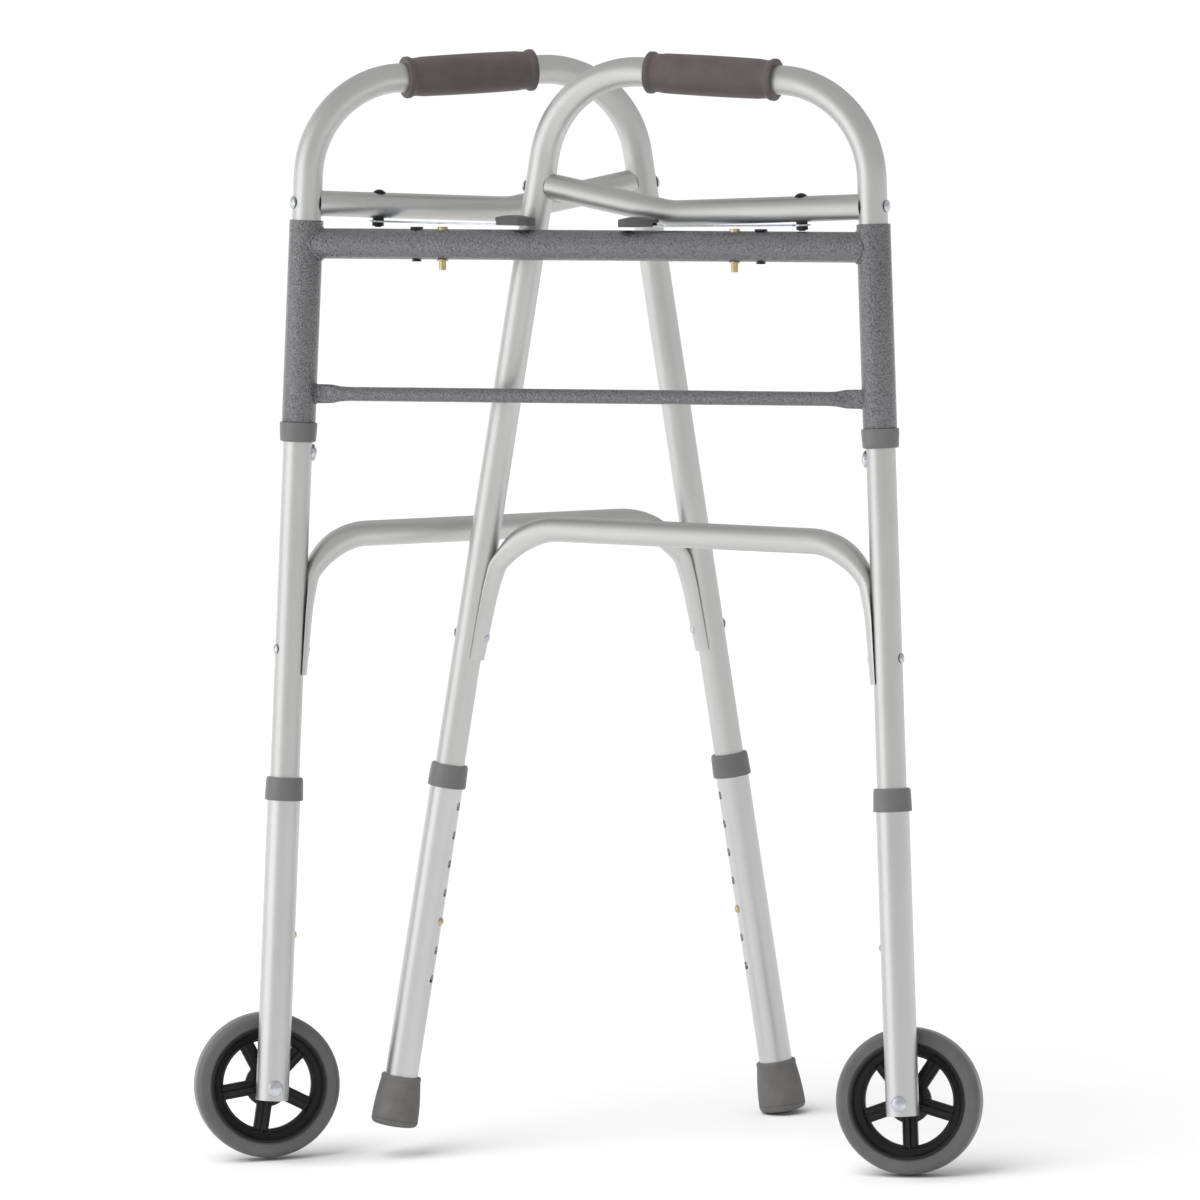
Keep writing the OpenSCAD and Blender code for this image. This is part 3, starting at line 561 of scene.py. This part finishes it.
# the sleeve stands on the hinge axis and doesn't swing with the leg
SLEEVE_FOOT = -155
ring_profile = softened([(TUBE + 0.1, SLEEVE_FOOT), (14.6, SLEEVE_FOOT),
                         (16.3, SLEEVE_FOOT - 0.1, 1.2), (16.4, SLEEVE_FOOT - 3, 2),
                         (15.6, SLEEVE_FOOT - 16.2, 1.2), (TUBE + 1.0, SLEEVE_FOOT - 17, 0.6),
                         (TUBE + 0.1, SLEEVE_FOOT - 15)])
for s in SIDES:
    make_piece("hinge_ring_" + s, turned(ring_profile), side[s], "h_frame", ring_plastic,
               ["sleeve_ring_" + s])

# %% [markdown]
# ## Rubber tips
# Each rear leg ends in a rubber cup. It is a little barrel shaped, wider at the floor, with
# a soft round lip at the top, and a fine step a few millimetres up where the hard wearing
# sole meets the cup. That step is only half a millimetre deep but it draws a clear line.

# %% Rubber tips
TIP_V = -748.0 / math.cos(RAKE)
tip_profile = softened([(0, 0), (15.5, 0, 1.5), (18.9, 0.4, 2.2), (20.4, 3.2, 1.4), (20.4, 5.2),
                        (19.9, 5.6), (20.35, 6.2), (20.3, 12, 6), (19.2, 26, 10),
                        (17.4, 38.5, 3), (17.2, 40.2, 0.6), (17.5, 41, 0.8), (17.3, 43.6, 1.2),
                        (14.6, 44, 0.6), (ON_EXTENSION, 42)])
for s in SIDES:
    make_piece("tip_cup_" + s, turned(tip_profile, closed=False),
               side[s] @ rear_axis @ Matrix.Translation((0, 0, TIP_V)), "rear_leg_" + s,
               tip_rubber, ["rubber_tip_" + s])

# %% [markdown]
# ## Wheels: the tyre
# A wheel is a black hub with a grey tyre pressed on to it. The tyre's profile is nearly
# square with full round shoulders, and a narrow groove follows the seam against the hub.
# Each wheel is placed from its side frame, with the axle height, toe and turn given as numbers.

# %% Tyres
WHEEL, HUB, WIDE = 63.5, 50.5, 25.0
AXLE_S, TOE = -733.0, math.radians(10)
EXTENSION, SPACER, WHEEL_GAP = 14.3, 2.7, 0.4
WHEEL_OUT = EXTENSION + SPACER + WIDE / 2 + WHEEL_GAP
LEFT_TURN, RIGHT_TURN = 96, 90
axle = (Matrix.Translation((0, 0, AXLE_S)) @ Matrix.Rotation(-TOE, 4, "Z")
        @ Matrix.Rotation(-math.pi / 2, 4, "X"))
wheel_place = {s: side[s] @ axle @ Matrix.Translation((0, 0, WHEEL_OUT))
               @ Matrix.Rotation(math.radians(RIGHT_TURN if s == "right" else LEFT_TURN), 4, "Z")
               for s in SIDES}
h = WIDE / 2
tyre_profile = softened([(HUB + 0.03, h - 1.6), (HUB + 0.7, h - 1.5), (HUB + 1.2, h - 0.3, 0.5),
                         (HUB + 5, h, 2), (WHEEL - 3.4, h - 0.2, 3.5), (WHEEL - 0.1, h - 4.6, 4),
                         (WHEEL, 0, 6), (WHEEL - 0.1, 4.6 - h, 4), (WHEEL - 3.4, 0.2 - h, 3.5),
                         (HUB + 5, -h, 2), (HUB + 1.2, 0.3 - h, 0.5), (HUB + 0.7, 1.5 - h),
                         (HUB + 0.03, 1.6 - h)], closed=True)
for s in SIDES:
    make_piece("tyre_ring_" + s, turned(tyre_profile, 120), wheel_place[s], "wheel_" + s,
               tyre_rubber, ["tyre_" + s])

# %% [markdown]
# ## Wheels: the hub
# The hub is one black moulding: a rim with a sloped inner face, a web with five windows
# whose corners are well rounded, a stiffening rib down the middle of each spoke, and a
# boss round the axle. The web is drawn as a flat curve with holes in it, because a filled
# curve takes a thickness and a bevelled edge for free. The rest is turned or swept and
# joined on.

# %% Hub web
def window_outline(turn, spokes=5, outer=39.6, inner=18.5, half_spoke=5.75):
    half = math.pi / spokes
    out_edge, in_edge = math.asin(half_spoke / outer), math.asin(half_spoke / inner)
    corners = []
    for k in range(13):
        a = turn - half + out_edge + 2 * (half - out_edge) * k / 12
        corners.append((outer * math.cos(a), outer * math.sin(a), 8.0 if k in (0, 12) else 0.5))
    for k in range(5):
        a = turn + half - in_edge - 2 * (half - in_edge) * k / 4
        corners.append((inner * math.cos(a), inner * math.sin(a), 3.5 if k in (0, 4) else 0.5))
    return softened(corners, closed=True)


def hub_web():
    curve = bpy.data.curves.new("web_outline", "CURVE")
    curve.dimensions, curve.fill_mode = "2D", "BOTH"
    curve.extrude, curve.bevel_depth, curve.bevel_resolution = 2.2, 0.8, 2
    loops = [[(47 * math.cos(k * math.pi / 48), 47 * math.sin(k * math.pi / 48))
              for k in range(96)]]
    loops += [window_outline((k + 0.5) * 2 * math.pi / 5) for k in range(5)]
    for loop in loops:
        line = curve.splines.new("POLY")
        line.points.add(len(loop) - 1)
        for point, (x, y) in zip(line.points, loop):
            point.co = (x, y, 0, 1)
        line.use_cyclic_u = True
    holder = bpy.data.objects.new("web_outline", curve)
    bpy.context.scene.collection.objects.link(holder)
    bpy.context.view_layer.update()
    mesh = bpy.data.meshes.new_from_object(
        holder.evaluated_get(bpy.context.evaluated_depsgraph_get()))
    shape = ([tuple(v.co) for v in mesh.vertices], [tuple(p.vertices) for p in mesh.polygons])
    bpy.data.objects.remove(holder)
    bpy.data.curves.remove(curve)
    bpy.data.meshes.remove(mesh)
    return shape


web = hub_web()
print("web faces:", len(web[1]))

# %% [markdown]
# The ribs stand on edge along each spoke on both faces. They are taller near the boss and
# slope down to the rim, which is how a moulded wheel carries its load. A bevel on each
# keeps the top edge from vanishing.

# %% Hub rim, ribs and boss
def wedge(x0, x1, z0, z1, floor, thick, top):
    """A rib from x0 to x1 whose top falls from z0 to z1; top is its narrower width."""
    a, b = thick / 2, top / 2
    verts = [(x0, -a, floor), (x0, a, floor), (x1, a, floor), (x1, -a, floor),
             (x0, -b, z0 - 0.4), (x0, b, z0 - 0.4), (x1, b, z1 - 0.4), (x1, -b, z1 - 0.4),
             (x0, -b * 0.5, z0), (x0, b * 0.5, z0), (x1, b * 0.5, z1), (x1, -b * 0.5, z1)]
    faces = [(0, 1, 2, 3), (0, 1, 5, 4), (1, 2, 6, 5), (2, 3, 7, 6), (3, 0, 4, 7),
             (4, 5, 9, 8), (5, 6, 10, 9), (6, 7, 11, 10), (7, 4, 8, 11), (8, 9, 10, 11)]
    return verts, faces


hub_parts = [web]
rim_profile = softened([(HUB, 11.6), (HUB, -11.6, 0.5), (HUB - 1.6, -12, 0.6),
                        (HUB - 2.6, -11.2, 0.8), (HUB - 4.2, -9, 1.5), (40.6, -5.5, 1.5),
                        (39.8, -2.2, 0.6), (39.8, 2.2, 0.6), (40.6, 5.5, 1.5),
                        (HUB - 4.2, 9, 1.5), (HUB - 2.6, 11.2, 0.8), (HUB - 1.6, 12, 0.6),
                        (HUB, 11.6, 0.5)], closed=True)
hub_parts.append(turned(rim_profile, 120))
boss_profile = softened([(4.1, 12.4), (9, 12.4, 0.6), (10.2, 11.4, 1), (12.2, 7, 1),
                         (13.1, 2.9, 0.8), (13.1, -2.9, 0.8), (12.2, -7, 1), (10.2, -11.4, 1),
                         (9, -12.4, 0.6), (4.1, -12.4)])
hub_parts.append(turned(boss_profile, 60))
for k in range(5):
    spoke = Matrix.Rotation(k * 2 * math.pi / 5, 4, "Z")
    flip = Matrix.Rotation(math.pi, 4, "X")
    for way in (spoke, spoke @ flip):
        hub_parts.append(moved(wedge(10, 43, 8.6, 5.4, 1.5, 2.2, 1.3), way))
        for edge in (-1, 1):
            lip = Matrix.Translation((0, edge * 4.9, 0))
            hub_parts.append(moved(wedge(13.5, 42, 3.9, 3.6, 2.0, 1.7, 1.1), way @ lip))
hub_shape = together(*hub_parts)
for s in SIDES:
    make_piece("wheel_centre_" + s, hub_shape, wheel_place[s], "wheel_" + s, hub_plastic,
               ["wheel_hub_" + s], sharp=30)
print("hub parts:", len(hub_parts))

# %% [markdown]
# ## The lower bar
# The thin bar between the hinge sleeves is a tube whose two ends are pressed flat, like a
# spade, so that each can be welded along a tall narrow edge. The ring of points starts as
# a thin tall oval, holds that shape for a short way, and then closes to the round tube.

# %% Lower bar
LOWER_BAR_DROP, SPLAY, SLEEVE_REACH = 130, math.radians(2.2), 13.6
hinges = [Vector(joint["fold_" + s]["pos_m"]) for s in SIDES]
half_bar = (hinges[0] - hinges[1]).length * 500
reach = half_bar + LOWER_BAR_DROP * math.sin(SPLAY) - SLEEVE_REACH
thin_line = bent_line([(-reach, -LOWER_BAR_DROP), (reach, -LOWER_BAR_DROP)], 1)


def pressed_ring(length, turn):
    from_end = min(length, 2 * reach - length)
    flat = 1 - min(max((from_end - 13) / 15, 0), 1)
    flat = flat * flat * (3 - 2 * flat)
    tall, thin = 6.2 + 2.1 * flat, 6.2 - 4.4 * flat
    square = 1 - 0.35 * flat
    c, d = math.cos(turn), math.sin(turn)
    return (tall * math.copysign(abs(c) ** square, c), thin * math.copysign(abs(d) ** square, d))


make_piece("lower_bar_tube", skinned(thin_line, pressed_ring), bar_place, "h_frame",
           enamel.material, ["lower_bar"])
print("lower bar is", round(2 * reach), "mm long")

# %% [markdown]
# ## Domed heads
# Rivets, screws and axle bolts all end in a low dome with a thin upright rim, which is how
# a header forms them. A turned dome has far more rings than the exact solid needs, so its
# highlight is round and clean. Each one takes the place of the plain solid behind it.

# %% Domed fasteners
def domed(radius, height, shank, length):
    """A head on the XY plane, dome up, with its shank going down."""
    rim, edge = 0.5, math.pi / 2.4
    profile = [(0, height)]
    for k in range(1, 9):
        a = k / 8 * edge
        rise = (math.cos(a) - math.cos(edge)) / (1 - math.cos(edge))
        profile.append((radius * math.sin(a) / math.sin(edge), rim + (height - rim) * rise))
    profile += softened([(radius, rim), (radius, 0, 0.15), (shank, 0), (shank, -length),
                         (0, -length)])
    return turned(profile, 40, closed=False)


def facing_back(u, s):
    return Matrix.Translation((u, 0, s)) @ Matrix.Rotation(math.pi / 2, 4, "Y")


def facing_front(u, s):
    return Matrix.Translation((u, 0, s)) @ Matrix.Rotation(-math.pi / 2, 4, "Y")


rivet, rivet_foot = domed(4.5, 2.4, 2.5, 16), domed(4.5, 2.4, 2.5, 1)
screw = domed(5.5, 3.0, 3.0, 36)
FRONT_RIVET_S, REAR_RIVET_S, STOP_SCREW_S, BESIDE_LEG = -352, -324, -181, 15.9
rear_rivet_v, rear_screw_v = REAR_RIVET_S / math.cos(RAKE), brace_rear_s / math.cos(RAKE)
for s in SIDES:
    rivets = together(moved(rivet, facing_back(BESIDE_LEG, FRONT_RIVET_S)),
                      moved(rivet_foot, facing_front(-TUBE, FRONT_RIVET_S)),
                      moved(rivet, rear_axis @ facing_front(-BESIDE_LEG, rear_rivet_v)),
                      moved(rivet_foot, rear_axis @ facing_back(TUBE, rear_rivet_v)))
    make_piece("brace_rivet_heads_" + s, rivets, side[s], "frame_" + s, zinc,
               ["brace_rivets_" + s])
    screws = together(moved(screw, facing_front(-TUBE, BRACE_S)),
                      moved(screw, rear_axis @ facing_back(TUBE, rear_screw_v)))
    make_piece("brace_screw_heads_" + s, screws, side[s], "frame_" + s, zinc,
               ["brace_screws_" + s])
    make_piece("stop_screw_" + s, domed(5.5, 3.2, 3.0, 8),
               side[s] @ facing_back(TUBE + 1.62, STOP_SCREW_S), "frame_" + s, zinc,
               ["retaining_screw_" + s])
    make_piece("axle_bolt_head_" + s, domed(6.75, 2.9, 4.0, 66),
               side[s] @ axle @ Matrix.Translation((0, 0, -ON_EXTENSION))
               @ Matrix.Rotation(math.pi, 4, "X"), "front_leg_" + s, zinc,
               ["axle_bolt_" + s])
print("domed heads made")

# %% [markdown]
# ## Weld beads
# The crossbar and the thin lower bar are welded to the hinge sleeves and painted over. A
# weld is a small uneven bead that follows the line where one round tube meets another. We
# find that line from the two radii and lay a lumpy bead along it, so the corner reads as
# one poured joint instead of two shapes pushed together.

# %% Weld beads
SLEEVE, BAR = 29.5 / 2, 26.5 / 2


def weld_bead(reach, flat, size, points=72, around=12):
    """A closed bead on a sleeve; reach and flat are the joining section's half sizes."""
    middle = []
    for k in range(points):
        t = 2 * math.pi * k / points
        y, z = flat * math.cos(t), reach * math.sin(t)
        middle.append(Vector((math.sqrt(max(SLEEVE ** 2 - y * y, 4)), y, z)))
    verts, faces = [], []
    for k, p in enumerate(middle):
        ahead = (middle[(k + 1) % points] - middle[k - 1]).normalized()
        away = Vector((0, p.y, p.z)).normalized() * 0.4 + Vector((p.x, p.y, 0)).normalized() * 0.4
        away = (away - ahead * away.dot(ahead)).normalized()
        side_way = ahead.cross(away)
        fat = size * (1 + 0.14 * math.sin(k * 1.9) + 0.08 * math.sin(k * 0.7 + 1))
        for j in range(around):
            a = 2 * math.pi * j / around
            verts.append(tuple(p + away * fat * math.cos(a) + side_way * fat * math.sin(a)))
        for j in range(around):
            n = (j + 1) % around
            faces.append((k * around + j, k * around + n, (k + 1) % points * around + n,
                          (k + 1) % points * around + j))
    return verts, faces


beads = []
for end in (1, -1):
    turn = Matrix.Rotation(0 if end < 0 else math.pi, 4, "Z")
    beads.append(moved(weld_bead(BAR - 0.5, BAR - 0.5, 1.7),
                       Matrix.Translation((end * half_bar, 0, 0)) @ turn))
    lower = end * (half_bar + LOWER_BAR_DROP * math.sin(SPLAY))
    beads.append(moved(weld_bead(8.0, 2.2, 1.1),
                       Matrix.Translation((lower, 0, -LOWER_BAR_DROP)) @ turn))
make_piece("weld_beads", together(*beads), bar_place, "h_frame", enamel.material)

# %% [markdown]
# ## Dress the pieces that stay
# The rest of the frame keeps its own exact mesh. Each of these solids gets smooth shading
# with its true edges left sharp, its finish, and where it has a stamped or pressed edge, a
# small bevel. A table of name starts keeps the list short and easy to check.

# %% Dress the solids
dressing = {
    "crossbar": enamel.material, "pivot_sleeve": enamel.material,
    "sleeve_bush": ring_plastic, "retaining_washer": zinc,
    "front_extension": leg_aluminium, "rear_extension": leg_aluminium,
    "snap_front": brass, "snap_rear": brass, "snap_clips": spring_steel,
    "axle_spacer": zinc, "axle_nut": zinc,
    "lock_link": zinc, "paddle": paddle_plastic, "link_bolt": black_zinc,
    "guide_rivets": black_zinc, "lock_pin": brass, "pin_springs": spring_steel,
}
bevelled = {"lock_link": 0.0004, "retaining_washer": 0.0004, "paddle": 0.0008,
            "axle_nut": 0.0003, "link_bolt": 0.0003, "pivot_sleeve": 0.0006}
dressed = 0
for name, node in node_objects.items():
    if node.hide_render:
        continue
    start = next(k for k in dressing if name.startswith(k))
    node.data.materials.clear()
    node.data.materials.append(dressing[start])
    node.data.shade_smooth()
    node.data.set_sharp_from_angle(angle=math.radians(32))
    if start in bevelled:
        weld = node.modifiers.new("close_seams", "WELD")
        weld.merge_threshold = 0.00001
        edge = node.modifiers.new("soft_edge", "BEVEL")
        edge.width, edge.segments = bevelled[start], 2
        edge.limit_method, edge.angle_limit = "ANGLE", math.radians(40)
        edge.harden_normals = False
    dressed += 1
print("dressed", dressed, "solids")

# %% [markdown]
# ## Stage and light
# A plain pale floor, a bright even sky and two large softboxes on the left, a stronger one
# in front and a weaker one behind. A round tube shows its whole surroundings squeezed into a
# narrow strip, so the softboxes appear as a pale band down its left side. The sun lamp gives
# an even tone and a soft shadow on the floor, and is kept out of reflections.

# %% Floor, sky and lamps
floor_mesh = bpy.data.meshes.new("floor")
floor_mesh.from_pydata([(-60, -60, 0), (60, -60, 0), (60, 60, 0), (-60, 60, 0)], [],
                       [(0, 1, 2, 3)])
floor = bpy.data.objects.new("floor", floor_mesh)
bpy.context.scene.collection.objects.link(floor)
floor.location.z = min(design_box[0].z, 0) - 0.0005
paper = Finish("pale_floor", Roughness=0.9, Specular_IOR_Level=0.0)
paper.colours(paper.noise(2, 3), (0.3, (0.86, 0.86, 0.86)), (0.7, (0.88, 0.88, 0.88)))
floor_mesh.materials.append(paper.material)

world = bpy.data.worlds.new("even_sky")
world.use_nodes = True
world.node_tree.nodes["Background"].inputs["Color"].default_value = (1, 1, 1, 1)
world.node_tree.nodes["Background"].inputs["Strength"].default_value = 0.62
bpy.context.scene.world = world


def lamp(kind, name, power, at, towards, **settings):
    data = bpy.data.lights.new(name, kind)
    data.energy = power
    for key, value in settings.items():
        setattr(data, key, value)
    made = bpy.data.objects.new(name, data)
    bpy.context.scene.collection.objects.link(made)
    made.location = at
    made.rotation_euler = (Vector(towards) - Vector(at)).to_track_quat("-Z", "Y").to_euler()
    made.visible_camera = False
    return made


sun = lamp("SUN", "soft_sun", 2.1, (-2, -2.2, 5), (0, 0, 0), angle=math.radians(50))
sun.visible_glossy = False
WALKER_MIDDLE = (0, 0.1, 0.5)
lamp("AREA", "left_softbox", 27, (-2.5, -1.9, 1.1), WALKER_MIDDLE, shape="RECTANGLE",
     size=3.0, size_y=3.0)
lamp("AREA", "back_softbox", 10, (-2.9, 1.5, 1.1), WALKER_MIDDLE, shape="RECTANGLE",
     size=2.6, size_y=3.0)
bpy.context.scene.view_settings.view_transform = "Standard"

# %% [markdown]
# ## Camera
# A long lens a good way off flattens the perspective. The camera stands to the right of the
# middle, looks a little downwards, and is rolled by about two degrees.

# %% Camera
AZIMUTH, ELEVATION, ROLL = (math.radians(a) for a in (17.33, 8.76, -1.88))
DISTANCE, LENS = 12.92, 446.7
aim = Vector((-0.018, 0, 0.476))
back = Vector((math.sin(AZIMUTH) * math.cos(ELEVATION), -math.cos(AZIMUTH) * math.cos(ELEVATION),
               math.sin(ELEVATION)))
camera_data = bpy.data.cameras.new("camera")
camera_data.sensor_width = 36
camera_data.lens = LENS
camera_data.clip_end = 200
camera = bpy.data.objects.new("camera", camera_data)
bpy.context.scene.collection.objects.link(camera)
camera.location = aim + back * DISTANCE
camera.rotation_mode = "QUATERNION"
look = (-back).to_track_quat("-Z", "Y").to_matrix()
camera.rotation_quaternion = (look @ Matrix.Rotation(ROLL, 3, "Z")).to_quaternion()
bpy.context.scene.camera = camera
print("lens", round(camera_data.lens), "mm")
